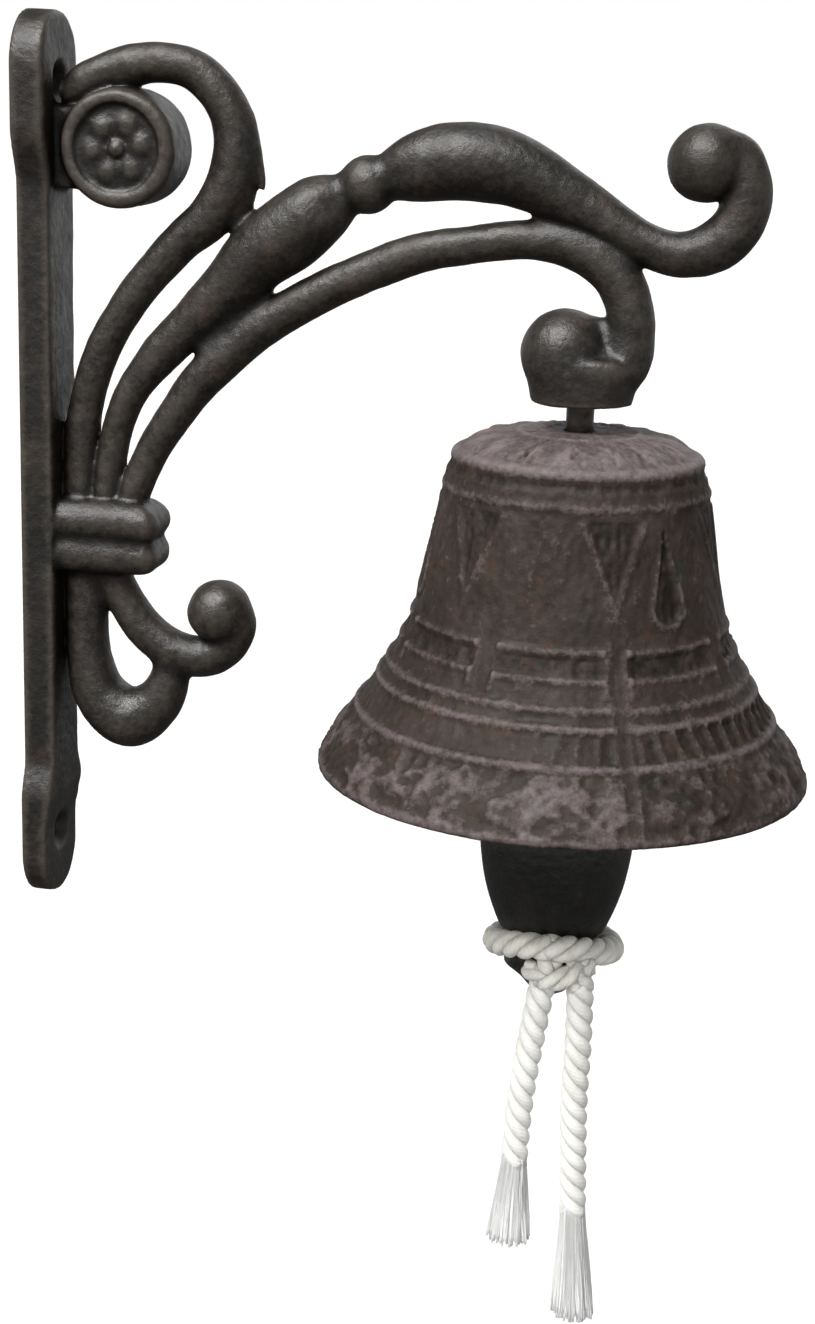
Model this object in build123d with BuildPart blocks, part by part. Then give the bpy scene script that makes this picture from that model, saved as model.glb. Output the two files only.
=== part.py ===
"""Wall bell: a cast iron scroll bracket, a bell on an eye bolt, and a clapper with a rope pull.

Millimetres, +Z up. The wall is the plane X = 0 and +X points out of it. The origin is on the wall
face, halfway between the two screw holes, and the bracket is symmetric about the plane Y = 0.
"""

from build123d import *
import os

# Back plate
PLATE_HEIGHT = 200.0
PLATE_WIDTH = 17.5
PLATE_THICKNESS = 7.5
TOP_LUG_WIDTH = 24.5
FOOT_LUG_WIDTH = 23.0
FOOT_LUG_THICKNESS = 6.0
LUG_LENGTH = 36.0
SCREW_SPACING = 170.0
SCREW_HOLE_RADIUS = 2.6
SCREW_HEAD_RADIUS = 4.6

# Collar that gathers the bars
COLLAR_TOP = -4.6
COLLAR_FOOT = -21.4
COLLAR_REACH = 30.8
COLLAR_WIDTH = 16.0
COLLAR_GROOVE = 1.0

# Rosette in the eye of the top scroll
ROSETTE_X = 22.3
ROSETTE_Z = 71.8
ROSETTE_RADIUS = 12.6
ROSETTE_WIDTH = 17.0
ROSETTE_NECK_TOP = 80.0
ROSETTE_NECK_FOOT = 63.0
ROSETTE_NECK_WIDTH = 10.0

# Hook boss at the end of the lower arm
BELL_X = 123.0
BOSS_FOOT = 22.1
BOSS_SEAT_RADIUS = 10.6
BOSS_WIDTH = 19.0
SOCKET_DEPTH = 10.0

# Bell
LIP_Z = -59.8
CROWN_HEIGHT = 76.4
CROWN_THICKNESS = 3.8
BELL_HOLE_CLEARANCE = 0.1

# Eye bolt, washer and nut
BOLT_RADIUS = 3.0
EYE_RADIUS = 5.0
EYE_WIRE_RADIUS = 1.75
WASHER_RADIUS = 8.0
WASHER_THICKNESS = 1.0
NUT_ACROSS_FLATS = 10.0
NUT_HEIGHT = 3.2
NUT_TO_EYE = 1.8

# Ring and clapper
RING_RADIUS = 7.5
RING_WIRE_RADIUS = 1.5
LINK_CLEARANCE = 0.35
CLAPPER_EYE_RADIUS = 5.5
CLAPPER_EYE_WIRE = 1.75
SHANK_RADIUS = 3.6

# Rope
ROPE_DIAMETER = 6.2
WRAP_RADIUS = 13.2
WRAP_Z = -102.0
TAIL_Y = -14.0

# Levels that follow from the sizes above
CROWN_Z = LIP_Z + CROWN_HEIGHT
CROWN_UNDERSIDE = CROWN_Z - CROWN_THICKNESS
NUT_TOP = CROWN_UNDERSIDE - WASHER_THICKNESS
EYE_Z = NUT_TOP - NUT_HEIGHT - NUT_TO_EYE - EYE_RADIUS
LINK_PITCH = EYE_WIRE_RADIUS + RING_WIRE_RADIUS + LINK_CLEARANCE
RING_PIVOT_Z = EYE_Z - EYE_RADIUS
RING_Z = RING_PIVOT_Z + LINK_PITCH - RING_RADIUS
CLAPPER_PIVOT_Z = RING_Z - RING_RADIUS
CLAPPER_EYE_Z = CLAPPER_PIVOT_Z + LINK_PITCH - CLAPPER_EYE_RADIUS

# Bars of the bracket: x, z and radius at each station of the centre line, in the plane Y = 0
TOP_SCROLL_BAR = [
    (10.9, 83.4, 3.6), (14.2, 85.4, 4.2), (20.8, 88.1, 4.4), (28.3, 89.7, 4.3), (35.8, 88.9, 4.2),
    (41.5, 84.9, 4.4), (45.4, 78.7, 4.6), (46.4, 71.5, 5.0), (44.9, 64.3, 5.1), (40.7, 57.8, 4.9),
    (34.7, 52.6, 4.4), (28.6, 46.0, 4.0), (22.8, 38.8, 3.9), (17.7, 30.1, 3.9), (13.8, 20.0, 3.8),
    (11.8, 8.0, 3.8), (11.5, COLLAR_TOP - 3, 3.8),
]
MAIN_ARM_BAR = [
    (17.0, COLLAR_TOP - 3, 3.6), (19.0, 6.0, 3.5), (22.4, 17.4, 3.6), (28.9, 26.8, 4.3), (37.1, 35.2, 5.1),
    (46.4, 44.2, 6.6), (52.2, 50.5, 7.5), (58.3, 55.2, 8.1), (64.3, 60.0, 7.4), (69.0, 62.9, 5.2),
    (72.0, 64.8, 4.6), (79.5, 67.8, 4.9), (86.3, 70.2, 7.2), (93.1, 71.5, 8.1), (100.1, 71.5, 8.1),
    (107.2, 70.1, 7.4), (116.2, 66.0, 6.1), (124.8, 61.6, 5.0), (133.4, 56.8, 4.5), (142.0, 54.5, 4.7),
    (149.0, 56.5, 5.3), (153.6, 61.4, 5.4), (154.9, 68.2, 5.2), (152.4, 74.4, 4.9),
    (147.4, 76.2, 4.6),
]
ARM_BEAD = (75.3, 66.1, 6.2)
ARM_BALL = (146.2, 73.2, 8.1)
LOWER_ARM_BAR = [
    (22.2, COLLAR_TOP - 3, 3.6), (27.5, 5.0, 3.8), (33.3, 14.6, 4.0), (41.1, 24.7, 4.6), (51.0, 33.8, 4.7),
    (61.1, 40.4, 4.4), (71.9, 46.2, 4.3), (87.0, 52.3, 4.2), (102.5, 55.3, 4.0), (112.0, 56.2, 4.3),
    (121.0, 54.7, 4.8), (128.4, 50.1, 5.1), (132.1, 43.1, 5.1), (132.7, 36.0, 5.3),
]
BOSS_CURL_BAR = [(132.7, 36.0, 5.3), (131.0, 31.0, 6.0), (126.5, 29.6, 6.8), (121.0, 31.2, 7.6)]
BOSS_BALL = (118.9, 33.0, 9.4)
LOWER_SCROLL_BAR = [
    (12.6, COLLAR_FOOT + 3, 4.8), (12.7, -32.0, 4.8), (13.1, -42.0, 5.1), (15.6, -51.0, 6.1),
    (22.5, -56.2, 7.0), (28.9, -52.6, 5.7), (32.2, -46.1, 4.6), (32.3, -39.5, 3.6),
]
BALL_SCROLL_BAR = [
    (16.6, COLLAR_FOOT + 3, 4.2), (21.5, -27.8, 4.3), (26.5, -34.9, 4.5), (33.0, -39.3, 4.6),
    (40.0, -40.4, 4.8), (45.4, -37.6, 4.7), (48.0, -32.0, 4.4), (45.4, -27.6, 4.0),
]
SCROLL_BALL = (43.9, -29.6, 7.3)

# Bell outline: height above the lip and outer radius, from the lip to the crown's edge
BELL_OUTLINE = [
    (0.0, 54.6), (6.8, 52.0), (14.8, 46.1), (22.7, 41.1), (34.1, 35.5), (47.7, 32.1), (62.4, 29.3),
    (69.4, 27.7), (73.6, 23.8), (76.0, 17.0),
]
BELL_INSIDE = [
    (0.0, 50.2), (6.8, 46.6), (14.8, 41.1), (22.7, 36.5), (34.1, 31.3), (47.7, 28.1), (62.4, 25.3),
    (68.2, 22.2), (71.8, 16.0),
]
BELL_RINGS = [(69.9, 27.5, 1.0), (63.6, 29.0, 1.0), (24.8, 40.1, 0.9), (21.4, 41.9, 1.0), (14.6, 46.2, 0.9)]

# Clapper outline: height and radius, from the shank to the point below the rope's groove
CLAPPER_OUTLINE = [
    (-47.0, 3.7), (-53.0, 5.6), (-59.0, 10.4), (-65.0, 14.8), (-72.0, 17.3), (-79.4, 17.1),
    (-86.6, 15.9), (-92.0, 14.3), (-96.8, 12.4),
]
GROOVE_TOP = -98.6
GROOVE_FOOT = -105.4
GROOVE_RADIUS = 9.7
CLAPPER_POINT = [(-106.4, 10.6), (-109.4, 7.2), (-113.0, 4.2), (-115.4, 0.0)]

# Rope tails: points of each centre line, from the wrap to where the strands fray
LEFT_TAIL = [(122.8, -105.7), (121.4, -116.4), (119.9, -127.6), (118.8, -139.4), (118.5, -151.0)]
RIGHT_TAIL = [(131.2, -105.7), (131.7, -118.0), (131.3, -132.6), (131.9, -147.6), (132.6, -162.2)]
LEFT_TASSEL_LENGTH = 21.0
RIGHT_TASSEL_LENGTH = 28.0
TASSEL_SPREAD = 1.8


def bar(stations):
    """Loft one round bar through its stations, each a circle square to the centre line."""
    points = [Vector(x, 0, z) for x, z, _ in stations]
    sections = []
    for index, (_, _, radius) in enumerate(stations):
        before = points[max(index - 1, 0)]
        after = points[min(index + 1, len(points) - 1)]
        with BuildSketch(Plane(origin=points[index], x_dir=(0, 1, 0), z_dir=after - before)) as section:
            Circle(radius)
        sections.append(section.sketch)
    loft(sections)


def ball(place):
    """Add one ball on the middle plane."""
    x, z, radius = place
    with Locations((x, 0, z)):
        Sphere(radius)


def trim_above(height):
    """Cut the part off flat at the height and keep what is below it."""
    split(bisect_by=Plane.XY.offset(height), keep=Keep.BOTTOM)


def trim_below(height):
    """Cut the part off flat at the height and keep what is above it."""
    split(bisect_by=Plane.XY.offset(height), keep=Keep.TOP)


def take_away(*pieces):
    """Cut the pieces that this one meets out of it, so that they touch face to face."""
    for piece in pieces:
        add(piece.part, mode=Mode.SUBTRACT)


def finish(piece, name):
    """Label the piece and write it as one STEP file."""
    piece.part.label = name
    export_step(piece.part, f"parts/{name}.step")


os.makedirs("parts", exist_ok=True)

# ---- Back plate: a dog-bone strip with a thick top lug and a thinner foot lug ----
with BuildPart() as back_plate:
    with BuildSketch(Plane.YZ):
        Rectangle(PLATE_WIDTH, PLATE_HEIGHT - LUG_LENGTH)
        with Locations((0, (PLATE_HEIGHT - LUG_LENGTH) / 2)):
            SlotOverall(LUG_LENGTH, TOP_LUG_WIDTH, rotation=90)
        with Locations((0, -(PLATE_HEIGHT - LUG_LENGTH) / 2)):
            SlotOverall(LUG_LENGTH, FOOT_LUG_WIDTH, rotation=90)
    extrude(amount=PLATE_THICKNESS)
    with BuildSketch(Plane.XZ.offset(-FOOT_LUG_WIDTH)):
        with BuildLine():
            Polyline(
                (FOOT_LUG_THICKNESS, -PLATE_HEIGHT),
                (FOOT_LUG_THICKNESS, -82.5),
                (PLATE_THICKNESS, -74.5),
                (2 * PLATE_THICKNESS, -74.5),
                (2 * PLATE_THICKNESS, -PLATE_HEIGHT),
                close=True,
            )
        make_face()
    extrude(amount=2 * FOOT_LUG_WIDTH, mode=Mode.SUBTRACT)
    for height, face_x in ((SCREW_SPACING / 2, PLATE_THICKNESS), (-SCREW_SPACING / 2, FOOT_LUG_THICKNESS)):
        with Locations(Plane(origin=(face_x, 0, height), x_dir=(0, 1, 0), z_dir=(1, 0, 0))):
            CounterSinkHole(SCREW_HOLE_RADIUS, SCREW_HEAD_RADIUS)

# ---- Rosette boss: a disc on edge, with a shallow dish in each face and a neck to the plate ----
with BuildPart() as rosette_boss:
    with BuildSketch(Plane.XZ.offset(-ROSETTE_WIDTH / 2)):
        with Locations((ROSETTE_X, ROSETTE_Z)):
            Circle(ROSETTE_RADIUS)
    extrude(amount=ROSETTE_WIDTH)
    fillet(rosette_boss.edges().filter_by(GeomType.CIRCLE), 1.6)
    for side in (-1, 1):
        with BuildSketch(Plane.XZ.offset(side * ROSETTE_WIDTH / 2)):
            with Locations((ROSETTE_X, ROSETTE_Z)):
                Circle(ROSETTE_RADIUS - 3.2)
        extrude(amount=-side * 1.2, mode=Mode.SUBTRACT)
    with Locations((PLATE_THICKNESS + 3.0, 0, (ROSETTE_NECK_TOP + ROSETTE_NECK_FOOT) / 2)):
        Box(6.0, ROSETTE_NECK_WIDTH, ROSETTE_NECK_TOP - ROSETTE_NECK_FOOT)
    take_away(back_plate)

# ---- Top scroll: the bar from the collar over the top, ending above the rosette ----
with BuildPart() as top_scroll:
    bar(TOP_SCROLL_BAR)
    trim_below(COLLAR_TOP)
    take_away(back_plate, rosette_boss)

# ---- Main arm: vase, bead and long swelling, then a curl that ends in a ball ----
with BuildPart() as main_arm:
    bar(MAIN_ARM_BAR)
    trim_below(COLLAR_TOP)
    ball(ARM_BEAD)
    ball(ARM_BALL)
    take_away(top_scroll)

# ---- Lower arm: the slimmer bar under the main arm, down to the hook boss ----
with BuildPart() as lower_arm:
    bar(LOWER_ARM_BAR)
    trim_below(COLLAR_TOP)
    take_away(main_arm)

# ---- Eye bolt: a round stem that screws up into the hook boss, with a closed eye below ----
with BuildPart() as eye_bolt:
    stem_foot = EYE_Z + EYE_RADIUS
    with BuildSketch(Plane.XY.offset(stem_foot)):
        with Locations((BELL_X, 0)):
            Circle(BOLT_RADIUS)
    extrude(amount=BOSS_FOOT + SOCKET_DEPTH - stem_foot)
    with Locations(Plane(origin=(BELL_X, 0, EYE_Z), x_dir=(1, 0, 0), z_dir=(0, 1, 0))):
        Torus(EYE_RADIUS, EYE_WIRE_RADIUS)

# ---- Hook boss: the arm's rolled end, cut flat below for the bolt ----
with BuildPart() as hook_boss:
    bar(BOSS_CURL_BAR)
    ball(BOSS_BALL)
    seat_height = BOSS_BALL[1] - BOSS_FOOT
    with Locations((BELL_X, 0, BOSS_FOOT + seat_height / 2)):
        Cone(BOSS_SEAT_RADIUS, BOSS_SEAT_RADIUS + 2.4, seat_height)
    with Locations((BELL_X, 0, BOSS_FOOT + seat_height)):
        Box(4 * BOSS_WIDTH, BOSS_WIDTH, 2 * seat_height, mode=Mode.INTERSECT)
    take_away(lower_arm, eye_bolt)

# ---- Collar: two half-round bands with a groove between, square to the plate ----
with BuildPart() as collar:
    collar_height = COLLAR_TOP - COLLAR_FOOT
    band_height = (collar_height - COLLAR_GROOVE) / 2
    reach = COLLAR_REACH - PLATE_THICKNESS
    with BuildSketch(Plane.XY.offset(COLLAR_FOOT)):
        with Locations((PLATE_THICKNESS + (reach - 2) / 2, 0)):
            Rectangle(reach - 2, COLLAR_WIDTH - 4)
    extrude(amount=collar_height)
    for band_foot in (COLLAR_FOOT, COLLAR_TOP - band_height):
        with BuildPart(mode=Mode.PRIVATE) as band:
            with BuildSketch(Plane.XY.offset(band_foot)):
                with Locations((PLATE_THICKNESS + reach / 2, 0)):
                    Rectangle(reach, COLLAR_WIDTH)
            extrude(amount=band_height)
            fillet(band.edges().filter_by(Axis.Z).group_by(Axis.X)[-1], 4.0)
            outer = band.edges().filter_by(lambda edge: edge.bounding_box().max.X > PLATE_THICKNESS + 0.1)
            fillet(outer.filter_by(lambda edge: abs(edge.bounding_box().size.Z) < 0.01), 3.2)
        add(band.part)

# ---- Lower scroll: down the plate from the collar and round a tight U ----
with BuildPart() as lower_scroll:
    bar(LOWER_SCROLL_BAR)
    trim_above(COLLAR_FOOT)
    take_away(back_plate)

# ---- Ball scroll: from the collar out and up to a ball ----
with BuildPart() as ball_scroll:
    bar(BALL_SCROLL_BAR)
    ball(SCROLL_BALL)
    trim_above(COLLAR_FOOT)
    take_away(lower_scroll)

# ---- Bell: one turned profile with raised rings, bored for the bolt ----
with BuildPart() as bell:
    with BuildSketch(Plane.XZ):
        with BuildLine():
            outside = Spline([(BELL_X + radius, LIP_Z + height) for height, radius in BELL_OUTLINE])
            Line(outside @ 1, (BELL_X, CROWN_Z))
            Line((BELL_X, CROWN_Z), (BELL_X, CROWN_UNDERSIDE))
            inside = Spline([(BELL_X + radius, LIP_Z + height) for height, radius in BELL_INSIDE])
            Line((BELL_X, CROWN_UNDERSIDE), (BELL_X + 9.0, CROWN_UNDERSIDE))
            Line((BELL_X + 9.0, CROWN_UNDERSIDE), inside @ 1)
            Line(inside @ 0, outside @ 0)
        make_face()
        for height, radius, bead_radius in BELL_RINGS:
            with Locations((BELL_X + radius, LIP_Z + height)):
                Circle(bead_radius)
    revolve(axis=Axis((BELL_X, 0, 0), (0, 0, 1)))
    with Locations((BELL_X, 0, CROWN_Z)):
        Hole(BOLT_RADIUS + BELL_HOLE_CLEARANCE, depth=2 * CROWN_THICKNESS)

# ---- Washer and nut that carry the bell on the bolt ----
with BuildPart() as crown_washer:
    with BuildSketch(Plane.XY.offset(NUT_TOP)):
        with Locations((BELL_X, 0)):
            Circle(WASHER_RADIUS)
            Circle(BOLT_RADIUS, mode=Mode.SUBTRACT)
    extrude(amount=WASHER_THICKNESS)

with BuildPart() as crown_nut:
    with BuildSketch(Plane.XY.offset(NUT_TOP - NUT_HEIGHT)):
        with Locations((BELL_X, 0)):
            RegularPolygon(NUT_ACROSS_FLATS / 2, 6, major_radius=False)
            Circle(BOLT_RADIUS, mode=Mode.SUBTRACT)
    extrude(amount=NUT_HEIGHT)

# ---- Ring that links the bolt's eye to the clapper's eye ----
with BuildPart() as clapper_ring:
    with Locations(Plane(origin=(BELL_X, 0, RING_Z), x_dir=(0, 1, 0), z_dir=(1, 0, 0))):
        Torus(RING_RADIUS, RING_WIRE_RADIUS)

# ---- Clapper: eye, shank, heavy bulb, groove for the rope and a blunt point ----
with BuildPart() as clapper:
    with Locations(Plane(origin=(BELL_X, 0, CLAPPER_EYE_Z), x_dir=(1, 0, 0), z_dir=(0, 1, 0))):
        Torus(CLAPPER_EYE_RADIUS, CLAPPER_EYE_WIRE)
    with BuildSketch(Plane.XZ):
        with BuildLine():
            shank_top = (BELL_X + SHANK_RADIUS, CLAPPER_EYE_Z - CLAPPER_EYE_RADIUS)
            bulb = Spline([(BELL_X + radius, z) for z, radius in CLAPPER_OUTLINE])
            point = [(BELL_X + radius, z) for z, radius in CLAPPER_POINT]
            Polyline((BELL_X, shank_top[1]), shank_top, bulb @ 0)
            Polyline(
                bulb @ 1,
                (BELL_X + GROOVE_RADIUS, GROOVE_TOP),
                (BELL_X + GROOVE_RADIUS, GROOVE_FOOT),
                point[0],
            )
            Polyline(*point)
            Line(point[-1], (BELL_X, shank_top[1]))
        make_face()
    revolve(axis=Axis((BELL_X, 0, 0), (0, 0, 1)))

# ---- Rope wrap: the turn of rope tied in the clapper's groove ----
with BuildPart() as rope_wrap:
    with Locations((BELL_X, 0, WRAP_Z)):
        Torus(WRAP_RADIUS, ROPE_DIAMETER / 2)


def tail_path(points):
    """Draw the tail's runs joined by tangent arcs as large as they allow, and print the radii."""
    corners = [Vector(x, TAIL_Y, z) for x, z in points]
    radii = []
    for before, corner, after in zip(corners, corners[1:], corners[2:]):
        turn = (corner - before).get_angle(after - corner)
        shorter = min((corner - before).length, (after - corner).length)
        radii.append(0.45 * shorter / tan_degrees(turn / 2))
    print("tail radii", [round(radius, 1) for radius in radii])
    FilletPolyline(*corners, radius=radii)


def tan_degrees(angle):
    """Tangent of an angle in degrees, from a unit vector turned by it."""
    turned = Vector(1, 0, 0).rotate(Axis.Z, angle)
    return turned.Y / turned.X


def tassel_plane(points):
    """Plane at the tail's last point, looking down along its last run."""
    end = Vector(points[-1][0], TAIL_Y, points[-1][1])
    before = Vector(points[-2][0], TAIL_Y, points[-2][1])
    return Plane(origin=end, x_dir=(0, 1, 0), z_dir=end - before)


def rope_tail(points):
    """Sweep the rope's round section along the tail."""
    with BuildLine() as run:
        tail_path(points)
    path = run.line
    with BuildSketch(Plane(origin=path @ 0, x_dir=(0, 1, 0), z_dir=path % 0)) as section:
        Circle(ROPE_DIAMETER / 2)
    sweep(section.sketch, path=path)
    print("tail length", round(sum(edge.length for edge in path.edges()), 1))


def tassel(points, length):
    """Frayed end: a round cone that spreads from the rope's own width."""
    start = tassel_plane(points)
    with BuildSketch(start) as root:
        Circle(ROPE_DIAMETER / 2)
    with BuildSketch(start.offset(length)) as tip:
        Circle(ROPE_DIAMETER / 2 + TASSEL_SPREAD)
    loft([root.sketch, tip.sketch])


with BuildPart() as rope_tail_left:
    rope_tail(LEFT_TAIL)

with BuildPart() as rope_tail_right:
    rope_tail(RIGHT_TAIL)

with BuildPart() as tassel_left:
    tassel(LEFT_TAIL, LEFT_TASSEL_LENGTH)

with BuildPart() as tassel_right:
    tassel(RIGHT_TAIL, RIGHT_TASSEL_LENGTH)

finish(back_plate, "back_plate")
finish(rosette_boss, "rosette_boss")
finish(top_scroll, "top_scroll")
finish(main_arm, "main_arm")
finish(lower_arm, "lower_arm")
finish(hook_boss, "hook_boss")
finish(collar, "collar")
finish(lower_scroll, "lower_scroll")
finish(ball_scroll, "ball_scroll")
finish(eye_bolt, "eye_bolt")
finish(crown_washer, "crown_washer")
finish(crown_nut, "crown_nut")
finish(bell, "bell")
finish(clapper_ring, "clapper_ring")
finish(clapper, "clapper")
finish(rope_wrap, "rope_wrap")
finish(rope_tail_left, "rope_tail_left")
finish(rope_tail_right, "rope_tail_right")
finish(tassel_left, "tassel_left")
finish(tassel_right, "tassel_right")
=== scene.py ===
"""Looks of a cast iron wall bell: scrolled bracket, turned bell with worn relief, clapper and rope pull.

Shapes are worked out in millimetres as whole arrays and put into meshes in metres. The frame is the
part's own: the wall is X = 0, the bracket reaches along +X, Z is up and Y = 0 is its middle plane.
"""

import math

import bpy
import numpy as np
from mathutils import Matrix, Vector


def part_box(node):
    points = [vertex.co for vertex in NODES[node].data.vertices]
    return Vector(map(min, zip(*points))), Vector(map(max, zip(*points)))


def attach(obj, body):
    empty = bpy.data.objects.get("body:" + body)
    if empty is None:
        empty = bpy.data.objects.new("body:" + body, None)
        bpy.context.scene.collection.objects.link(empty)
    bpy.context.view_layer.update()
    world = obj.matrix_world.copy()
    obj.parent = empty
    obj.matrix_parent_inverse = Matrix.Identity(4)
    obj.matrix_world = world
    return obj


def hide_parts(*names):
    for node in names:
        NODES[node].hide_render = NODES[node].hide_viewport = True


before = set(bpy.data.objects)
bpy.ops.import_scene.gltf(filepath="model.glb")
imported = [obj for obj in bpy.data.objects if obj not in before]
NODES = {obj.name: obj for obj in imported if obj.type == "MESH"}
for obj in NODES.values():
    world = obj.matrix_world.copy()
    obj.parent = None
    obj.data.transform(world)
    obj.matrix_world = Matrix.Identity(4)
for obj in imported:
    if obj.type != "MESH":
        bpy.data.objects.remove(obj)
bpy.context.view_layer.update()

MM = 0.001


def centre_of(node):
    """Middle of a CAD node's box, in millimetres."""
    low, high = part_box(node)
    return [(a + b) / 2 / MM for a, b in zip(low, high)]


BELL_X = centre_of("bell")[0]
LIP_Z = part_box("bell")[0][2] / MM
BOSS_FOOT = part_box("hook_boss")[0][2] / MM
COLLAR_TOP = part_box("collar")[1][2] / MM
COLLAR_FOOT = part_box("collar")[0][2] / MM
COLLAR_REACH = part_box("collar")[1][0] / MM
PLATE_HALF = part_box("back_plate")[1][2] / MM
PLATE_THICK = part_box("back_plate")[1][0] / MM
ROSETTE_RADIUS = (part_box("rosette_boss")[1][2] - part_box("rosette_boss")[0][2]) / 2 / MM
ROSETTE = (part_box("rosette_boss")[1][0] / MM - ROSETTE_RADIUS, centre_of("rosette_boss")[2])
ROSETTE_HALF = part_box("rosette_boss")[1][1] / MM


# ---------------------------------------------------------------- camera, light and floor


def make_camera():
    """Camera to one side of the bracket, level with its arms, turned a few degrees towards the wall
    and more steeply down."""
    yaw, pitch, roll = (math.radians(angle) for angle in (9.02, 15.23, -2.01))
    forward = np.array(
        [-math.sin(yaw) * math.cos(pitch), math.cos(yaw) * math.cos(pitch), -math.sin(pitch)]
    )
    level = np.array([math.cos(yaw), math.sin(yaw), 0.0])
    down = np.cross(forward, level)
    right = math.cos(roll) * level + math.sin(roll) * down
    up = math.sin(roll) * level - math.cos(roll) * down
    data = bpy.data.cameras.new("camera")
    data.lens = 56.15
    data.clip_start = 0.01
    camera = bpy.data.objects.new("camera", data)
    bpy.context.collection.objects.link(camera)
    turn = Matrix([[*row] for row in np.stack([right, up, -forward], axis=1)]).to_4x4()
    camera.matrix_world = Matrix.Translation((0.15754, -0.44207, 0.08386)) @ turn
    bpy.context.scene.camera = camera


def add_sun(name, azimuth, elevation, strength, softness, tint):
    """Distant soft light that shines from the azimuth and elevation, in degrees."""
    data = bpy.data.lights.new(name, "SUN")
    data.energy = strength
    data.angle = math.radians(softness)
    data.color = tint
    light = bpy.data.objects.new(name, data)
    bpy.context.collection.objects.link(light)
    around, up = math.radians(azimuth), math.radians(elevation)
    away = np.array(
        [math.cos(up) * math.cos(around), math.cos(up) * math.sin(around), math.sin(up)]
    )
    across = np.cross((0.0, 0.0, 1.0), away)
    across /= np.linalg.norm(across)
    turn = Matrix([[*row] for row in np.stack([across, np.cross(away, across), away], axis=1)])
    light.matrix_world = turn.to_4x4()
    return light


def light_the_stage():
    """Grey surround that is white at the level of the horizon, a large soft light above and to the
    left, a weak one from behind, a broad fill from the front that lights matt surfaces, and one from
    above that only glossy surfaces show."""
    world = bpy.data.worlds.new("grey_surround")
    world.use_nodes = True
    tree = world.node_tree
    background = tree.nodes["Background"]
    place = add_node(tree, "ShaderNodeTexCoord").outputs["Generated"]
    upward = add_node(tree, "ShaderNodeSeparateXYZ", links={"Vector": place}).outputs["Z"]
    ramp = add_node(tree, "ShaderNodeValToRGB")
    level = add_node(
        tree, "ShaderNodeMapRange", values={"From Min": -0.2, "From Max": 0.3}, links={"Value": upward}
    )
    tree.links.new(level.outputs["Result"], ramp.inputs["Fac"])
    set_ramp(
        ramp,
        [(0.0, "#5e5e5e"), (0.05, "#5e5e5e"), (0.15, "#ffffff"), (0.52, "#ffffff"), (0.84, "#7c7c7c")],
    )
    tree.links.new(ramp.outputs["Color"], background.inputs["Color"])
    background.inputs["Strength"].default_value = 1.0
    bpy.context.scene.world = world
    bpy.context.scene.view_settings.view_transform = "Standard"
    add_sun("key_light", -122, 50, 3.2, 22, (1.0, 0.99, 0.975))
    add_sun("back_light", 75, 30, 0.6, 40, (0.97, 0.985, 1.0))
    fill = add_sun("fill_light", -85, 5, 2.1, 120, (1.0, 1.0, 1.0))
    fill.visible_glossy = False
    glint = add_sun("glint_light", -118, 58, 5.5, 20, (1.0, 0.99, 0.97))
    glint.visible_diffuse = False


# ---------------------------------------------------------------- meshes


def smooth_line(stations, spacing=0.7):
    """Catmull-Rom curve through the stations, each a point with its radius, cut every spacing."""
    knots = np.asarray(stations, float)
    before = np.vstack([2 * knots[0] - knots[1], knots[:-1]])
    after = np.vstack([knots[1:], 2 * knots[-1] - knots[-2]])
    slopes = (after - before) / 2
    pieces = []
    for start, end, slope_a, slope_b in zip(knots[:-1], knots[1:], slopes[:-1], slopes[1:]):
        steps = max(2, int(np.linalg.norm(end[:-1] - start[:-1]) / spacing))
        t = np.linspace(0, 1, steps, endpoint=False)[:, None]
        pieces.append(
            (2 * t**3 - 3 * t**2 + 1) * start + (t**3 - 2 * t**2 + t) * slope_a
            + (3 * t**2 - 2 * t**3) * end + (t**3 - t**2) * slope_b
        )
    pieces.append(knots[-1:])
    return np.vstack(pieces)


def put_mesh(name, points, faces, body, material, attributes=None, uv=None):
    """Make a smooth-shaded piece from points in millimetres and quads, and let it ride on body."""
    mesh = bpy.data.meshes.new(name)
    points = np.asarray(points, np.float32) * MM
    mesh.vertices.add(len(points))
    mesh.vertices.foreach_set("co", points.ravel())
    loops = np.concatenate([np.asarray(face_set, np.int32).ravel() for face_set in faces])
    sizes = np.concatenate([np.full(len(s), np.asarray(s).shape[1], np.int32) for s in faces])
    mesh.loops.add(len(loops))
    mesh.loops.foreach_set("vertex_index", loops)
    mesh.polygons.add(len(sizes))
    starts = np.concatenate([[0], np.cumsum(sizes)[:-1]]).astype(np.int32)
    mesh.polygons.foreach_set("loop_start", starts)
    mesh.polygons.foreach_set("use_smooth", np.ones(len(sizes), bool))
    for key, values in (attributes or {}).items():
        layer = mesh.attributes.new(key, "FLOAT", "POINT")
        layer.data.foreach_set("value", np.asarray(values, np.float32).ravel())
    if uv is not None:
        layer = mesh.uv_layers.new(name="UVMap")
        layer.data.foreach_set("uv", np.asarray(uv, np.float32)[loops].ravel())
    mesh.update(calc_edges=True)
    mesh.validate()
    mesh.materials.append(material)
    piece = bpy.data.objects.new(name, mesh)
    bpy.context.collection.objects.link(piece)
    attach(piece, body)
    return piece


def ring_quads(rows, columns):
    """Quads of a grid of rows by columns whose columns close on themselves."""
    r, c = np.meshgrid(np.arange(rows - 1), np.arange(columns), indexing="ij")
    nxt = (c + 1) % columns
    return np.stack(
        [r * columns + c, r * columns + nxt, (r + 1) * columns + nxt, (r + 1) * columns + c], -1
    ).reshape(-1, 4)


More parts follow.
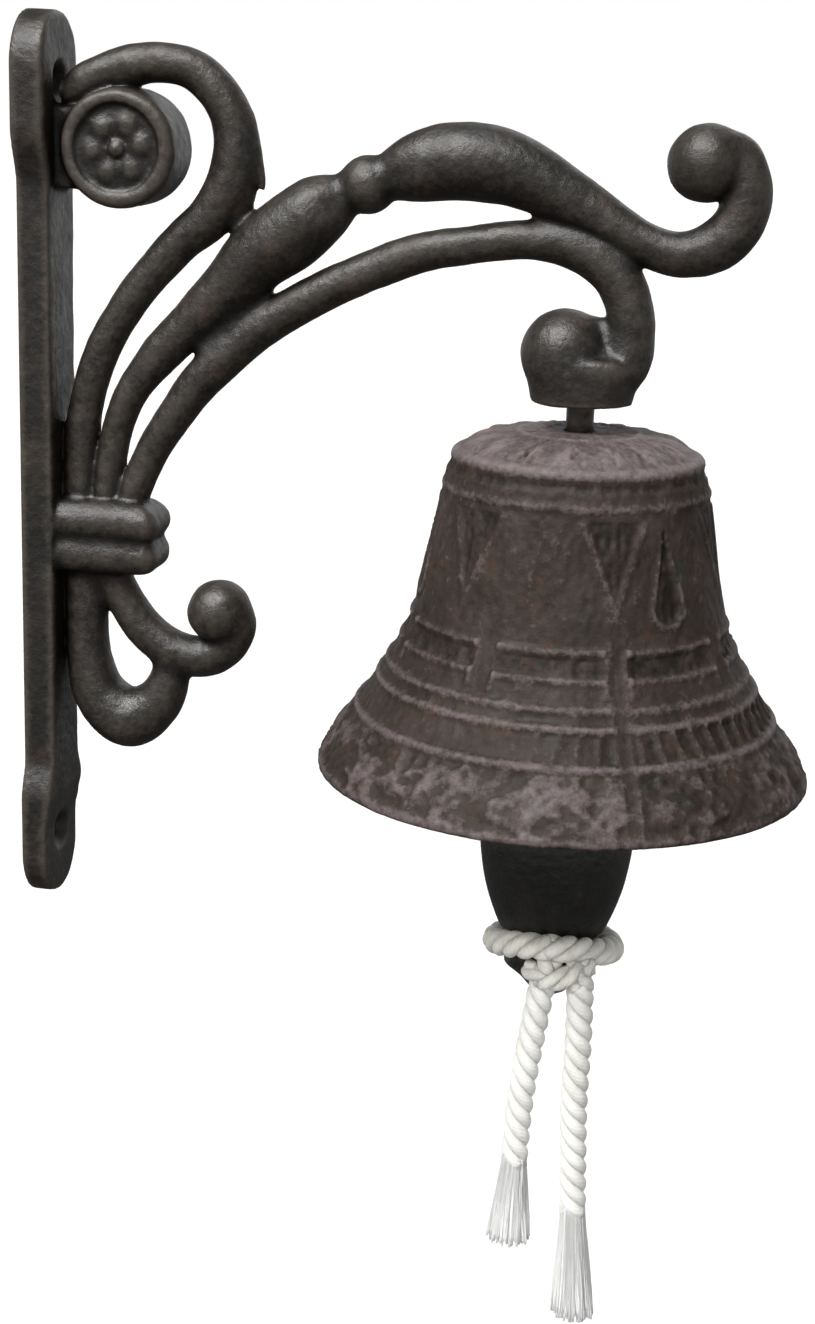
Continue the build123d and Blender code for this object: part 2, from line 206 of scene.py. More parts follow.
def cap_triangles(ring, pole, flip=False):
    """Triangles from a ring of point numbers to its pole."""
    nxt = np.roll(ring, -1)
    fan = np.stack([nxt, ring, np.full(len(ring), pole)], -1)
    return fan[:, ::-1] if flip else fan


def lattice_noise(shape, step, size, seed):
    """Smooth random field on a grid of samples: random lattice values, size millimetres apart,
    joined along each axis in turn by s(t) = 3t^2 - 2t^3."""
    counts = [int(n * step / size) + 3 for n in shape]
    field = np.random.default_rng(seed).uniform(-1, 1, counts).astype(np.float32)
    for axis, n in enumerate(shape):
        along = np.arange(n) * step / size
        low = along.astype(int)
        t = (along - low).astype(np.float32)
        t = (3 * t**2 - 2 * t**3).reshape([-1 if a == axis else 1 for a in range(len(shape))])
        field = np.take(field, low, axis) * (1 - t) + np.take(field, low + 1, axis) * t
    return field


# ---------------------------------------------------------------- iron bracket


def soft_union(a, b, width):
    """Smaller of two distances, rounded where they meet: b + (a - b)h - w h(1 - h)."""
    h = np.clip(0.5 + 0.5 * (b - a) / width, 0, 1)
    return b + (a - b) * h - width * h * (1 - h)


def soft_cut(a, b, width):
    """Larger of two distances, with the edge between them rounded."""
    return -soft_union(-a, -b, width)


def surface_skin(field, origin, step):
    """Closed skin where the field is zero. Each cell whose corners differ in sign gets one point, the
    mean of the crossings on its edges, and each sample edge that crosses gets one quad."""
    shape = np.array(field.shape)
    cells = shape - 1
    stride = np.array([cells[1] * cells[2], cells[2], 1])
    sums = np.zeros((3, int(np.prod(cells))))
    counts = np.zeros(int(np.prod(cells)))
    quads = []
    for axis in range(3):
        low = [slice(None)] * 3
        high = [slice(None)] * 3
        low[axis] = slice(0, -1)
        high[axis] = slice(1, None)
        a, b = field[tuple(low)], field[tuple(high)]
        edges = np.argwhere((a < 0) != (b < 0))
        start, end = a[tuple(edges.T)], b[tuple(edges.T)]
        place = edges.astype(float)
        place[:, axis] += start / (start - end)
        u, v = (axis + 1) % 3, (axis + 2) % 3
        corners = []
        for du, dv in ((1, 1), (0, 1), (0, 0), (1, 0)):
            cell = edges.copy()
            cell[:, u] -= du
            cell[:, v] -= dv
            index = cell @ stride
            corners.append(index)
            for k in range(3):
                sums[k] += np.bincount(index, place[:, k], len(counts))
            counts += np.bincount(index, minlength=len(counts))
        quad = np.stack(corners, -1)
        quad[start > 0] = quad[start > 0][:, ::-1]
        quads.append(quad)
    used = np.flatnonzero(counts)
    number = np.full(len(counts), -1)
    number[used] = np.arange(len(used))
    points = (sums[:, used] / counts[used]).T * step + np.asarray(origin)
    return points, number[np.concatenate(quads)]


def neighbour_mean(values, quads):
    """Mean over each point's neighbours along the quads' edges."""
    total = np.zeros_like(values)
    count = np.zeros(len(values))
    for a, b in ((0, 1), (1, 2), (2, 3), (3, 0)):
        for i, j in ((a, b), (b, a)):
            for k in range(values.shape[1]):
                total[:, k] += np.bincount(quads[:, i], values[quads[:, j], k], len(values))
            count += np.bincount(quads[:, i], minlength=len(values))
    return total / count[:, None]


def point_normals(points, quads):
    """Unit normals: the sum of the cross products of each quad's diagonals around the point."""
    p = points[quads]
    cross = np.cross(p[:, 2] - p[:, 0], p[:, 3] - p[:, 1])
    normals = np.zeros_like(points)
    for corner in range(4):
        for k in range(3):
            normals[:, k] += np.bincount(quads[:, corner], cross[:, k], len(points))
    return normals / np.linalg.norm(normals, axis=1, keepdims=True)


# Bars of the bracket in its middle plane: x, z and radius at each station
TOP_SCROLL = [
    (10.9, 83.4, 3.6), (14.2, 85.4, 4.2), (20.8, 88.1, 4.4), (28.3, 89.7, 4.3), (35.8, 88.9, 4.2),
    (41.5, 84.9, 4.4), (45.4, 78.7, 4.6), (46.4, 71.5, 5.0), (44.9, 64.3, 5.1), (40.7, 57.8, 4.9),
    (34.7, 52.6, 4.4), (28.6, 46.0, 4.0), (22.8, 38.8, 3.9), (17.7, 30.1, 3.9), (13.8, 20.0, 3.8),
    (11.8, 8.0, 3.8), (11.5, COLLAR_TOP - 3, 3.8),
]
MAIN_ARM = [
    (17.0, COLLAR_TOP - 3, 3.6), (19.0, 6.0, 3.5), (22.4, 17.4, 3.6), (28.9, 26.8, 4.3), (37.1, 35.2, 5.1),
    (46.4, 44.2, 6.6), (52.2, 50.5, 7.5), (58.3, 55.2, 8.1), (64.3, 60.0, 7.4), (69.0, 62.9, 5.2),
    (72.0, 64.8, 4.6), (79.5, 67.8, 4.9), (86.3, 70.2, 7.2), (93.1, 71.5, 8.1), (100.1, 71.5, 8.1),
    (107.2, 70.1, 7.4), (116.2, 66.0, 6.1), (124.8, 61.6, 5.0), (133.4, 56.8, 4.5), (142.0, 54.5, 4.7),
    (149.0, 56.5, 5.3), (153.6, 61.4, 5.4), (154.9, 68.2, 5.2), (152.4, 74.4, 4.9),
    (147.4, 76.2, 4.6),
]
LOWER_ARM = [
    (22.2, COLLAR_TOP - 3, 3.6), (27.5, 5.0, 3.8), (33.3, 14.6, 4.0), (41.1, 24.7, 4.6), (51.0, 33.8, 4.7),
    (61.1, 40.4, 4.4), (71.9, 46.2, 4.3), (87.0, 52.3, 4.2), (102.5, 55.3, 4.0), (112.0, 56.2, 4.3),
    (121.0, 54.7, 4.8), (128.4, 50.1, 5.1), (132.1, 43.1, 5.1), (132.7, 36.0, 5.3),
    (131.0, 31.0, 6.0), (126.5, 29.6, 6.8), (121.0, 31.2, 7.6),
]
LOWER_SCROLL = [
    (12.6, COLLAR_FOOT + 3, 4.8), (12.7, -32.0, 4.8), (13.1, -42.0, 5.1), (15.6, -51.0, 6.1),
    (22.5, -56.2, 7.0), (28.9, -52.6, 5.7), (32.2, -46.1, 4.6), (32.3, -39.5, 3.6),
]
BALL_SCROLL = [
    (16.6, COLLAR_FOOT + 3, 4.2), (21.5, -27.8, 4.3), (26.5, -34.9, 4.5), (33.0, -39.3, 4.6),
    (40.0, -40.4, 4.8), (45.4, -37.6, 4.7), (48.0, -32.0, 4.4), (45.4, -27.6, 4.0),
]
# Thin webs that the mould leaves between bars, and the pointed leaf on the top scroll
WEBS = [
    [(40.6, 30.5, 3.0), (47.0, 36.8, 3.4), (52.0, 41.5, 2.8)],
    [(113.0, 61.0, 2.0), (120.0, 58.0, 3.0), (130.0, 53.0, 3.4)],
    [(46.6, 57.5, 2.4), (48.2, 62.0, 2.4), (49.6, 67.0, 2.0)],
    [(48.6, 79.0, 1.4), (50.0, 72.0, 1.9), (51.4, 67.6, 1.5), (52.6, 64.6, 0.7)],
    [(125.0, 38.0, 3.0), (128.6, 35.5, 4.0)],
    [(11.0, -24.0, 3.0), (11.0, -40.0, 3.4), (11.0, -52.0, 3.6)],
]
# Balls on the middle plane: the main arm's bead, the ball at its end, the one on the boss and the
# ball scroll's end, each as x, z and radius
BALLS = [(75.3, 66.1, 6.2), (146.2, 73.2, 8.1), (118.9, 33.0, 9.4), (43.9, -29.6, 7.3)]


def bar_distance(stations, x, y, z):
    """Distance to a round bar: the distance to the nearest ball of a chain of balls on its line."""
    best = np.full((x.shape[0], z.shape[2]), 1e9, np.float32)
    flat = best.copy()
    radius = best.copy()
    plane_x, plane_z = x[:, 0, :], z[0, 0, :][None, :]
    for centre_x, centre_z, ball_radius in smooth_line(stations):
        away = np.hypot(plane_x - centre_x, plane_z - centre_z)
        nearer = away - ball_radius < best
        best = np.where(nearer, away - ball_radius, best)
        flat = np.where(nearer, away, flat)
        radius = np.where(nearer, ball_radius, radius)
    return np.sqrt(flat[:, None, :] ** 2 + y**2) - radius[:, None, :]


def box_distance(x, y, z, centre, half, rounding):
    """Distance to a box with rounded edges: length of the overhang, less the rounding."""
    over = [np.abs(p - c) - (h - rounding) for p, c, h in zip((x, y, z), centre, half)]
    outside = np.sqrt(sum(np.maximum(o, 0) ** 2 for o in over))
    return outside + np.minimum(np.maximum(np.maximum(over[0], over[1]), over[2]), 0) - rounding


def plate_distance(x, y, z):
    """Distance to the back plate: a strip with a rounded lug at each end, thinner at the foot, and
    a countersunk hole in each lug."""
    strip = np.maximum(np.abs(y) - 8.75, np.abs(z) - (PLATE_HALF - 18))
    top_lug = np.hypot(y, np.maximum(np.abs(z - (PLATE_HALF - 18)) - 5.75, 0)) - 12.25
    foot_lug = np.hypot(y, np.maximum(np.abs(z + PLATE_HALF - 18) - 6.5, 0)) - 11.5
    outline = soft_union(soft_union(strip, top_lug, 4.0), foot_lug, 2.0)
    thickness = PLATE_THICK - 1.5 * np.clip((-74.5 - z) / 8.0, 0, 1)
    body = soft_cut(outline, x - thickness, 1.1)
    for hole_z in (PLATE_HALF - 15, 15 - PLATE_HALF):
        from_axis = np.hypot(y, z - hole_z)
        flare = np.clip(x - (thickness - 2.2), 0, 2.4)
        body = soft_cut(body, (2.6 + flare - from_axis) * 0.8, 0.6)
    return soft_cut(body, -x, 0.8)


def rosette_distance(x, y, z):
    """Distance to the rosette: a disc on edge with a raised rim, six petals and a bead on each face,
    and a neck that joins it to the plate."""
    across, depth = ROSETTE_RADIUS, ROSETTE_HALF
    dx, dz, side = x - ROSETTE[0], z - ROSETTE[1], np.abs(y)
    from_axis = np.hypot(dx, dz)
    disc = soft_cut(from_axis - across, side - depth, 2.2)
    dish = np.maximum(from_axis - (across - 3.0), depth - 0.9 - side)
    disc = soft_cut(disc, -dish, 1.2)
    rim = np.hypot(from_axis - (across - 2.2), side - (depth - 0.9)) - 1.0
    disc = soft_union(disc, rim, 1.2)
    for petal in range(6):
        angle = math.radians(60 * petal + 8)
        along = dx * math.cos(angle) + dz * math.sin(angle) - 5.2
        over = -dx * math.sin(angle) + dz * math.cos(angle)
        length = np.sqrt((along / 2.6) ** 2 + (over / 2.5) ** 2 + ((side - depth + 1.4) / 1.5) ** 2)
        disc = soft_union(disc, (length - 1) * 1.8, 1.0)
    bead = np.sqrt(from_axis**2 + (side - depth + 1.2) ** 2) - 1.9
    disc = soft_union(disc, bead, 0.6)
    neck = box_distance(x, y, z, (PLATE_THICK + 2.5, 0, ROSETTE[1] - 0.3), (4.5, 5.0, 8.6), 1.5)
    return soft_union(disc, neck, 1.5)


def collar_distance(x, y, z):
    """Distance to the collar: a block with two half-round bands round it."""
    middle = (PLATE_THICK + COLLAR_REACH) / 2 - 1
    height = COLLAR_TOP - COLLAR_FOOT
    core = box_distance(
        x, y, z, (middle - 1, 0, (COLLAR_TOP + COLLAR_FOOT) / 2), (11.0, 6.4, height / 2 - 0.6), 2.5
    )
    for band_z in (COLLAR_TOP - 5.4, COLLAR_FOOT + 4.0):
        half = (COLLAR_REACH - middle, 8.0, 3.6)
        core = soft_union(core, box_distance(x, y, z, (middle, 0, band_z), half, 3.4), 2.2)
    return core


def hook_seat_distance(x, y, z):
    """Distance to the seat under the hook: a cone that widens upwards, flattened on its two sides
    and closed by a flat foot."""
    from_axis = np.hypot(x - BELL_X, y * 1.12)
    cone = (from_axis - 10.8 - 0.22 * (z - BOSS_FOOT)) * 0.95
    seat = soft_cut(soft_cut(cone, z - BOSS_FOOT - 10.5, 4.0), np.abs(y) - 9.6, 2.0)
    return np.maximum(seat, BOSS_FOOT - z)


def bracket_field(step):
    """Signed distance of the whole casting on a grid, and the grid's origin."""
    low = np.array([-1.5, -15.0, -PLATE_HALF - 1.5])
    high = np.array([164.0, 15.0, PLATE_HALF + 1.5])
    axes = [np.arange(a, b, step, dtype=np.float32) for a, b in zip(low, high)]
    x, y, z = axes[0][:, None, None], axes[1][None, :, None], axes[2][None, None, :]
    x = np.broadcast_to(x, (len(axes[0]), 1, len(axes[2])))
    casting = plate_distance(x, y, z)
    arms = bar_distance(TOP_SCROLL, x, y, z)
    arms = soft_union(arms, bar_distance(MAIN_ARM, x, y, z), 0.8)
    arms = soft_union(arms, bar_distance(LOWER_ARM, x, y, z), 0.8)
    for web in WEBS:
        arms = soft_union(arms, bar_distance(web, x, y, z), 1.4)
    arms = np.where(z < COLLAR_TOP - 2.5, 9.0, arms)
    scrolls = soft_union(
        bar_distance(LOWER_SCROLL, x, y, z), bar_distance(BALL_SCROLL, x, y, z), 1.8
    )
    scrolls = np.where(z > COLLAR_FOOT + 2.5, 9.0, scrolls)
    hook = hook_seat_distance(x, y, z)
    for member in (rosette_distance(x, y, z), arms, scrolls, collar_distance(x, y, z), hook):
        casting = soft_union(casting, member, 1.2)
    for ball_x, ball_z, radius in BALLS:
        away = np.sqrt((x - ball_x) ** 2 + y**2 + (z - ball_z) ** 2) - radius
        casting = soft_union(casting, away, 1.0)
    near_hook = (np.abs(x - BELL_X) < 20) & (z > 0) & (z < 40)
    casting = np.where(near_hook, soft_cut(casting, BOSS_FOOT - z, 0.7), casting)
    casting = np.maximum(casting, -x)
    shape = casting.shape
    lumps = 0.15 * lattice_noise(shape, step, 7.0, 3) + 0.09 * lattice_noise(shape, step, 2.4, 4)
    casting = casting + np.where(x > 0.8, lumps, 0)
    return casting, low


def make_bracket(material):
    """The bracket as the one casting that it is, with soft creases where its bars run together."""
    step = 0.66
    field, origin = bracket_field(step)
    points, quads = surface_skin(field, origin, step)
    points = 0.35 * points + 0.65 * neighbour_mean(points, quads)
    flat = points.copy()
    for _ in range(6):
        flat = neighbour_mean(flat, quads)
    # convex places are painted lighter through this attribute, as handling wear and painted highlight;
    # creases and hollows are painted darker, as painted shade
    bulge = np.sum((points - flat) * point_normals(points, quads), axis=1)
    wear_and_shade = np.clip(bulge / 0.22, -1, 1)
    piece = put_mesh("bracket_casting", points, [quads], "bracket", material, {"wear_and_shade": wear_and_shade})
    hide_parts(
        "back_plate", "rosette_boss", "top_scroll", "main_arm", "lower_arm", "hook_boss",
        "collar", "lower_scroll", "ball_scroll",
    )
    return piece


# ---------------------------------------------------------------- bell

# Direction of one joint of the mould halves, from +X; the other is opposite it
SEAM = math.radians(-68.5)

# Outlines of the bell: radius and height above the lip, from the lip in to the eye bolt's hole
BELL_OUTSIDE = [
    (54.3, 0.5), (53.7, 3.0), (51.7, 6.8), (45.8, 14.8), (40.8, 22.7), (35.1, 34.1), (31.8, 47.7),
    (29.0, 62.4), (27.4, 69.2), (23.6, 73.4), (17.0, 75.6), (8.0, 76.2), (3.3, 76.3),
]
BELL_INSIDE = [
    (50.3, 0.3), (46.6, 6.8), (41.1, 14.8), (36.5, 22.7), (31.3, 34.1), (28.1, 47.7), (25.3, 62.4),
    (22.2, 68.2), (16.0, 71.8), (9.0, 72.6), (3.3, 72.6),
]


def even_profile(outline, count):
    """Radius and height at count evenly spaced places along a smooth outline."""
    line = smooth_line([(*knot, 0.0) for knot in outline], 0.4)[:, :2]
    run = np.concatenate([[0], np.cumsum(np.hypot(*np.diff(line, axis=0).T))])
    along = np.linspace(0, run[-1], count)
    return np.interp(along, run, line[:, 0]), np.interp(along, run, line[:, 1])


def ridge(distance, width):
    """Round-topped ridge of height 1 over the distance from its line: (1 - (d / w)^2)^1.5."""
    return np.clip(1 - (distance / width) ** 2, 0, 1) ** 1.5


def wrap_angle(angle, count):
    """Angle from the nearest of count evenly spaced directions, and that direction's number."""
    sector = 2 * math.pi / count
    number = np.round(angle / sector)
    return angle - number * sector, number


def bell_relief(angle, height, radius, blotch):
    """Height of the worn relief above the turned bell, in millimetres, zone by zone."""
    relief = np.zeros_like(angle)
    # raised rings, where the turner's template had grooves
    for ring_height, ring_width, ring_rise in (
        (70.9, 1.6, 0.9), (64.4, 1.3, 0.5), (24.9, 1.2, 0.6), (21.4, 1.2, 0.75), (14.4, 1.2, 0.75),
        (1.6, 1.6, 0.4),
    ):
        relief += ring_rise * ridge(height - ring_height, ring_width)
    relief -= 0.45 * ridge(height - 68.6, 1.2)
    # worn leaves on the shoulder, round a plain disc with a fine step
    offset, _ = wrap_angle(angle, 16)
    crown = (height > 72.0) & (radius > 14)
    leaf = ridge(offset * radius, 0.14 * radius)
    relief += np.where(crown, 0.6 * leaf * ridge(radius - 21, 4.5) * (0.5 + 1.0 * blotch), 0)
    relief += 0.4 * ridge(radius - 13.0, 1.0) * (height > 74)
    # drapery on the waist: narrow hanging Vs with sunk middles, and a pointed leaf beside each
    offset, _ = wrap_angle(angle - SEAM, 6)
    across = offset * radius
    above_v = (height - 43.5 - 2.7 * np.abs(across)) * 0.35
    waist = (height > 37.5) & (height < 62.2)
    relief += np.where(waist, 0.32 * ridge(above_v, 1.2), 0)
    relief -= np.where(waist, 0.38 * np.clip((above_v - 0.5) / 1.3, 0, 1), 0)
    relief += np.where(waist & (above_v > 1.2), 0.3 * ridge(across, 1.1), 0)
    offset, _ = wrap_angle(angle - SEAM - 0.38, 3)
    across = offset * radius
    narrowing = 4.2 - 0.26 * np.clip(height - 44, 0, 16)
    leaf = np.hypot(across / np.maximum(narrowing, 0.4), np.clip(44 - height, 0, 9) / 4.0)
    leaf_zone = (height > 38.5) & (height < 59.5)
    relief += np.where(leaf_zone, 0.45 * ridge(leaf - 1.0, 0.3), 0)
    relief -= np.where(leaf_zone, 0.55 * np.clip((0.85 - leaf) / 0.3, 0, 1), 0)
    for stem_angle in (-0.5, -0.3):
        offset, _ = wrap_angle(angle - SEAM - stem_angle, 6)
        stem = offset * radius + 1.6 * np.sin((height - 40) * 0.16)
        relief += np.where(waist & (height < 59), 0.16 * ridge(stem, 1.2), 0)
    # framed panels below the waist
    offset, _ = wrap_angle(angle - SEAM - math.pi / 8, 8)
    across = offset * radius
    half_panel = math.pi / 8 * radius
    side = half_panel - np.abs(across)
    panel = (height > 26.8) & (height < 36.6)
    relief += np.where(panel, 0.4 * ridge(side - 2.6, 1.1), 0)
    framed = side > 2.4
    relief += np.where(framed, 0.5 * ridge(height - 35.8, 1.0) + 0.5 * ridge(height - 30.2, 1.0), 0)
    sunk = framed & (height > 31.0) & (height < 35.0)
    relief -= np.where(sunk, 0.45, 0)
    arc = np.hypot(across, (height - 35.5) * 1.3)
    relief += np.where(panel & framed & (height < 35.5), 0.22 * ridge(arc - 5.0, 1.2), 0)
    # upright teeth between the two lower rings
    offset, number = wrap_angle(angle, 62)
    strength = 0.1 + 0.9 * np.clip(np.cos(angle - SEAM - 0.8), 0, 1) ** 2
    teeth = ridge(offset * radius + 0.25 * (height - 18) * np.sin(number * 0.5), 0.95)
    relief += np.where((height > 15.4) & (height < 20.6), 0.75 * strength * teeth - 0.35 * strength, 0)
    # worn flowers above the lip
    offset, number = wrap_angle(angle, 15)
    across = offset * radius + 2.5 * np.sin(height * 0.55 + number)
    flower = ridge(np.hypot(across, (height - 7.5) * 1.1) - 3.2, 1.4)
    lip_zone = (height > 2.2) & (height < 13.0)
    relief += np.where(lip_zone, 0.32 * flower + 0.25 * ridge(across - 5.5, 1.3), 0)
    relief += np.where(lip_zone, 0.4 * np.clip(blotch * 1.3, -0.6, 1), 0)
    # joint of the two mould halves: a pair of fine lines down each side
    for seam in (SEAM, SEAM + math.pi):
        from_seam = (angle - seam + math.pi) % (2 * math.pi) - math.pi
        lines = ridge(np.abs(from_seam * radius) - 1.7, 0.8)
        low_down = height < 38
        relief = np.where((np.abs(from_seam * radius) < 2.2) & low_down, 0.5 * relief, relief)
        relief += np.where(low_down, 0.26, 0.05) * lines * (height < 74)
    return relief


def make_bell(material):
    """Turned shell: a ring of points for each place on the outline, pushed out by the relief."""
    columns, outside_rows, inside_rows = 480, 176, 16
    step = 0.6
    angle = np.linspace(0, 2 * math.pi, columns, endpoint=False)[None, :]
    radius, height = even_profile(BELL_OUTSIDE, outside_rows)
    slope = np.stack([np.gradient(radius), np.gradient(height)])
    slope /= np.hypot(*slope)
    normal_r, normal_z = slope[1][:, None], -slope[0][:, None]
    radius, height = radius[:, None], height[:, None]
    spread = np.broadcast_to(angle, (outside_rows, columns))
    tall = np.broadcast_to(height, spread.shape)
    wide = np.broadcast_to(radius, spread.shape)
    run = (outside_rows, columns + 1)
    coarse, fine = lattice_noise(run, step, 4.2, 11), lattice_noise(run, step, 1.7, 12)
    lumps = 0.8 * coarse[:, :columns] + 0.8 * fine[:, :columns]
    fade = np.minimum(np.arange(columns), np.arange(columns)[::-1]) / 12.0
    lumps = lumps * np.clip(fade, 0, 1)
    relief = bell_relief(spread, tall, wide, lumps)
    worn = relief * (1 - 0.6 * np.clip(lumps, 0, 1)) + 0.2 * lumps
    worn = worn * np.clip((wide - 5.5) / 3, 0, 1)
    out_r, out_z = wide + normal_r * worn, tall + normal_z * worn
    outside = np.stack([out_r * np.cos(angle), out_r * np.sin(angle), out_z], -1)
    in_radius, in_height = even_profile(BELL_INSIDE, inside_rows)
    in_radius, in_height = in_radius[::-1, None], in_height[::-1, None]
    inside = np.stack(
        [in_radius * np.cos(angle), in_radius * np.sin(angle), in_height + 0 * angle], -1
    )
    points = np.concatenate([outside, inside]).reshape(-1, 3) + (BELL_X, 0, LIP_Z)
    rows = outside_rows + inside_rows
    quads = ring_quads(rows, columns)
    last = (rows - 1) * columns + np.arange(columns)
    seam = np.stack([last, np.roll(last, -1), np.roll(np.arange(columns), -1), np.arange(columns)], -1)
    # colour follows the relief; the crown and the lip's side towards the key light are painted pale as a
    # painted highlight, which on the crown also stands for handling wear
    painted_highlight = 0.75 * np.clip((tall - 70.5) / 2.0, 0, 1) * (wide < 27.5)
    lit_lip_side = np.clip(np.cos(spread - SEAM + 0.7), 0, 1) ** 3
    painted_highlight = painted_highlight + 0.3 * np.clip((14 - tall) / 4.0, 0, 1) * lit_lip_side
    # the inside of the bell is set to -0.3 so that it is painted dark: painted shade
    relief_and_painted_light = np.concatenate([(worn + painted_highlight).ravel(), np.full(inside_rows * columns, -0.3)])
    piece = put_mesh("bell_casting", points, [quads, seam], "bell", material, {"relief": relief_and_painted_light})
    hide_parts("bell")
    return piece


# ---------------------------------------------------------------- rope

# Rope's diameter, the length of one turn of its lay, and the plane that its tails hang in
ROPE = 6.2
LAY_LENGTH = 12.5
TAIL_Y = -14.0
# Strand's radius and its distance from the rope's middle, as shares of the diameter
STRAND_RADIUS = 0.275
STRAND_OFFSET = 0.232
LEFT_TAIL = [(122.8, -105.7), (121.4, -116.4), (119.9, -127.6), (118.8, -139.4), (118.5, -151.0)]
RIGHT_TAIL = [(131.2, -105.7), (131.7, -118.0), (131.3, -132.6), (131.9, -147.6), (132.6, -162.2)]
LEFT_TASSEL = 21.0
RIGHT_TASSEL = 28.0
TASSEL_YARNS = 170


def follow_route(points):
    """Points in millimetres on the smooth NURBS line that has these control points."""
    curve = bpy.data.curves.new("rope_route", "CURVE")
    curve.dimensions = "3D"
    curve.resolution_u = 24
    spline = curve.splines.new("NURBS")
    spline.points.add(len(points) - 1)
    for knot, place in zip(spline.points, points):
        knot.co = (*(value * MM for value in place), 1.0)
    spline.order_u = 3
    spline.use_endpoint_u = True
    holder = bpy.data.objects.new("rope_route", curve)
    mesh = bpy.data.meshes.new_from_object(holder)
    line = np.empty(3 * len(mesh.vertices))
    mesh.vertices.foreach_get("co", line)
    bpy.data.objects.remove(holder)
    bpy.data.meshes.remove(mesh)
    bpy.data.curves.remove(curve)
    return line.reshape(-1, 3) / MM


def even_steps(line, spacing):
    """The line cut at even steps of about the spacing, and the distance along it at each."""
    run = np.concatenate([[0], np.cumsum(np.linalg.norm(np.diff(line, axis=0), axis=1))])
    along = np.linspace(0, run[-1], max(2, int(run[-1] / spacing)))
    return np.stack([np.interp(along, run, line[:, k]) for k in range(3)], -1), along


def side_axes(line, upright):
    """Tangent and two square directions at each point; the first leans towards upright."""
    tangent = np.gradient(line, axis=0)
    tangent /= np.linalg.norm(tangent, axis=1, keepdims=True)
    first = np.asarray(upright, float) - tangent * (tangent @ np.asarray(upright, float))[:, None]
    first /= np.linalg.norm(first, axis=1, keepdims=True)
    return tangent, first, np.cross(tangent, first)


def tube_round(line, radii, upright, sides):
    """Closed tube round a line: rings of sides points at p + r(cos a, sin a), and a pole at each end.
    Returns points, quads, triangles and the map (distance along, share of the way round)."""
    tangent, first, second = side_axes(line, upright)
    turn = np.linspace(0, 2 * math.pi, sides, endpoint=False)
    ring = first[:, None] * np.cos(turn)[None, :, None] + second[:, None] * np.sin(turn)[None, :, None]
    points = line[:, None] + ring * np.asarray(radii)[:, None, None]
    count = len(line)
    run = np.concatenate([[0], np.cumsum(np.linalg.norm(np.diff(line, axis=0), axis=1))])
    uv = np.stack(np.meshgrid(run, turn / (2 * math.pi), indexing="ij"), -1).reshape(-1, 2)
    poles = [line[:1] - tangent[:1] * radii[0] * 0.4, line[-1:] + tangent[-1:] * radii[-1] * 0.4]
    points = np.concatenate([points.reshape(-1, 3), *poles])
    uv = np.concatenate([uv, [[0, 0.5], [run[-1], 0.5]]])
    caps = np.concatenate([
        cap_triangles(np.arange(sides), count * sides),
        cap_triangles((count - 1) * sides + np.arange(sides), count * sides + 1, flip=True),
    ])
    return points, ring_quads(count, sides), caps, uv


def join_tubes(tubes):
    """Put several tubes in one set of points, quads, triangles and map."""
    points, quads, caps, uv, first = [], [], [], [], 0
    for tube_points, tube_quads, tube_caps, tube_uv in tubes:
        points.append(tube_points)
        quads.append(tube_quads + first)
        caps.append(tube_caps + first)
        uv.append(tube_uv)
        first += len(tube_points)
    return [np.concatenate(part) for part in (points, quads, caps, uv)]


def laid_strands(line, upright, phase=0.0, plump=1.0):
    """Three strands twisted round the line: strand k's line is p + c(cos f, sin f), where
    f = phase - 2 pi s / lay + 2 pi k / 3 and c is STRAND_OFFSET of the rope's diameter. A plump below
    1 thins the whole rope, as in the knot."""
    line, along = even_steps(line, 0.55)
    _, first, second = side_axes(line, upright)
    tubes = []
    for strand in range(3):
        turn = -2 * math.pi * along / LAY_LENGTH + 2 * math.pi * strand / 3 + phase
        offset = first * np.cos(turn)[:, None] + second * np.sin(turn)[:, None]
        radii = np.full(len(line), STRAND_RADIUS * ROPE * plump)
        tubes.append(tube_round(line + STRAND_OFFSET * ROPE * plump * offset, radii, upright, 14))
    return join_tubes(tubes)


def rope_piece(name, tubes, material):
    """One mesh of rope tubes, riding on the clapper."""
    points, quads, caps, uv = tubes
    piece = put_mesh(name, points, [quads, caps], "clapper", material, uv=uv)
    return piece


def frayed_end(start, heading, length, spread, seed):
    """Loose yarns below the last of the twist, laid round a solid core so that no gap shows. Each runs
    down heading and drifts out from its own place in the rope as t^1.3, with a slow wave across."""
    chance = np.random.default_rng(seed)
    heading = np.asarray(heading, float) / np.linalg.norm(heading)
    sideways = np.cross(heading, (0, 1, 0))
    sideways /= np.linalg.norm(sideways)
    deep = np.cross(heading, sideways)
    t = np.linspace(0, 1, 18)[:, None]
    core = start + heading * length * 0.93 * t
    flare = ROPE / 2 - 0.7 + spread * 0.85 * t[:, 0] ** 1.3
    tubes = [tube_round(core, flare, (0.3, 1, 0), 24)]
    for _ in range(TASSEL_YARNS):
        share, turn = chance.uniform(0.8, 1.0), chance.uniform(0, 2 * math.pi)
        out = share * (math.cos(turn) * sideways + math.sin(turn) * deep)
        reach = length * chance.uniform(0.9, 1.0)
        wave = chance.uniform(0.1, 0.5) * np.sin(t * chance.uniform(3, 8) + turn)
        twist = chance.uniform(-1, 1) * sideways + chance.uniform(-1, 1) * deep
        line = start + heading * reach * t + out * (ROPE / 2 - 0.5 + spread * t**1.3)
        line = line + twist * wave * t**0.6
        radii = 0.42 * (1 - 0.35 * t[:, 0] ** 3)
        tubes.append(tube_round(line, radii, (0.3, 1, 0), 5))
    return join_tubes(tubes)


def in_tail_plane(points):
    """Tail route points as x, y and z."""
    return [(x, TAIL_Y, z) for x, z in points]


